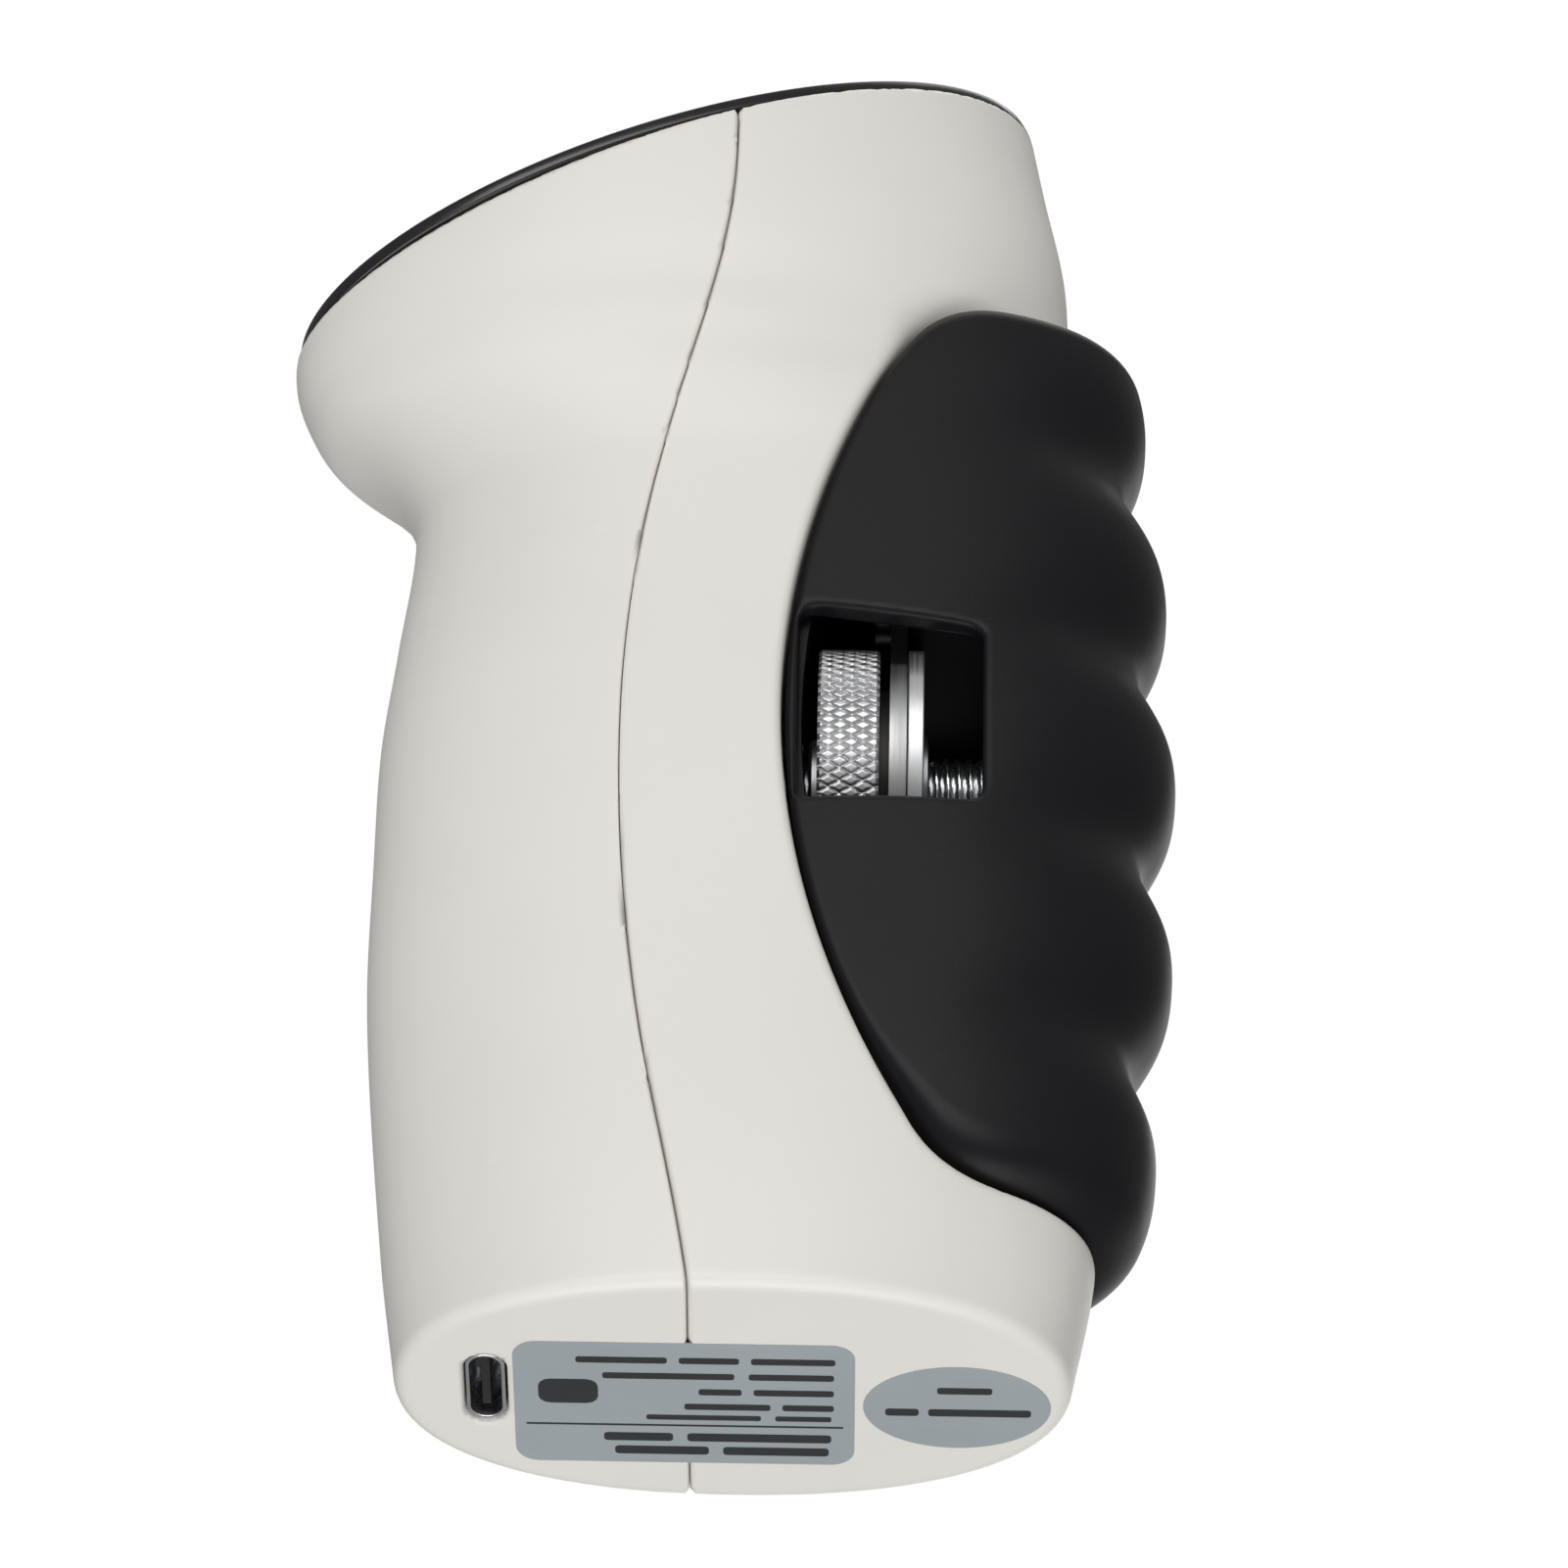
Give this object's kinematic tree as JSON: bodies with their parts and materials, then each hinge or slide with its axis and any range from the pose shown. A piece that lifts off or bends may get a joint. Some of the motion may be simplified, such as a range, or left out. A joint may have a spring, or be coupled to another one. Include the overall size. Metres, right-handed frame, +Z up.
{
  "type": "hand dynamometer",
  "caption": "Hand grip dynamometer with a tilted display on a moulded body and a finger grip moved along a threaded stud by a knurled wheel.",
  "frame": {"origin": "centre of the base face, which is at z = 0", "axes": "+X from the palm towards the fingers, +Y across the hand, +Z up through the head; -Z is the outward normal of the base"},
  "size_m": [0.0808, 0.0364, 0.1458],
  "materials": {
    "shell_white": "satin moulded",
    "grip_black": "fine matt texture",
    "plate_black": "gloss",
    "window_clear": "clear gloss",
    "lcd_grey": "gloss",
    "diffuser_white": "matt",
    "flex_amber": "satin",
    "rubber_dark": "matt",
    "button_orange": "satin",
    "button_grey": "satin",
    "button_green": "satin",
    "board_green": "gloss",
    "chip_black": "matt",
    "cell_foil": "satin",
    "tray_black": "matt",
    "connector_steel": "satin",
    "cell_aluminium": "machined",
    "plate_steel": "brushed",
    "screw_steel": "zinc plated",
    "stud_steel": "bright turned",
    "knurl_steel": "knurled nickel plate",
    "ring_steel": "polished",
    "bronze": "turned",
    "spine_dark": "black oxide",
    "label_grey": "printed film"
  },
  "bodies": {
    "housing": {"rear_housing": "shell_white", "front_housing": "shell_white", "display_bezel": "plate_black", "display_window": "window_clear", "lcd_panel": "lcd_grey", "lcd_backlight": "diffuser_white", "display_flex": "flex_amber", "keypad_mat": "rubber_dark", "main_board": "board_green", "board_chips": "chip_black", "buzzer": "chip_black", "battery": "cell_foil", "battery_tray": "tray_black", "usb_port_shell": "connector_steel", "usb_tongue": "chip_black", "usb_board": "board_green", "load_cell": "cell_aluminium", "strain_gauges": "flex_amber", "gauge_flex": "flex_amber", "cell_bracket": "plate_steel", "cell_screws": "screw_steel", "bracket_screws": "screw_steel", "threaded_stud": "stud_steel", "stud_lock_nut": "screw_steel", "stud_seal": "rubber_dark", "guide_bushes": "bronze", "housing_screws": "screw_steel", "rating_label": "label_grey", "check_label": "label_grey"},
    "grip": {"grip_shell": "grip_black", "grip_rear_cover": "grip_black", "grip_spine": "spine_dark", "grip_screws": "screw_steel", "guide_pins": "stud_steel", "pin_clips": "screw_steel", "thrust_washer": "bronze"},
    "wheel": {"knurled_wheel": "knurl_steel", "thrust_ring": "ring_steel", "circlip": "screw_steel"},
    "power_key": {"power_button": "button_orange"},
    "select_key": {"select_button": "button_grey"},
    "start_key": {"start_button": "button_green"}
  },
  "joints": [
    {"name": "grip_slide", "type": "slide", "parent": "housing", "child": "grip", "axis": [1, 0, 0], "range_m": [0, 0.012]},
    {"name": "wheel_spin", "type": "hinge", "parent": "grip", "child": "wheel", "pos_m": [0.0087, 0, 0.0645], "axis": [1, 0, 0], "range_deg": [0, 4320]},
    {"name": "power_press", "type": "slide", "parent": "housing", "child": "power_key", "axis": [0.3907, 0, -0.9205], "range_m": [0, 0.0005], "stiffness_N_per_m": 2500},
    {"name": "select_press", "type": "slide", "parent": "housing", "child": "select_key", "axis": [0.3907, 0, -0.9205], "range_m": [0, 0.0005], "stiffness_N_per_m": 2500},
    {"name": "start_press", "type": "slide", "parent": "housing", "child": "start_key", "axis": [0.3907, 0, -0.9205], "range_m": [0, 0.0005], "stiffness_N_per_m": 2500}
  ],
  "couplings": [
    {"joint": "wheel_spin", "follows": "grip_slide", "rad_per_m": 6283.2}
  ]
}
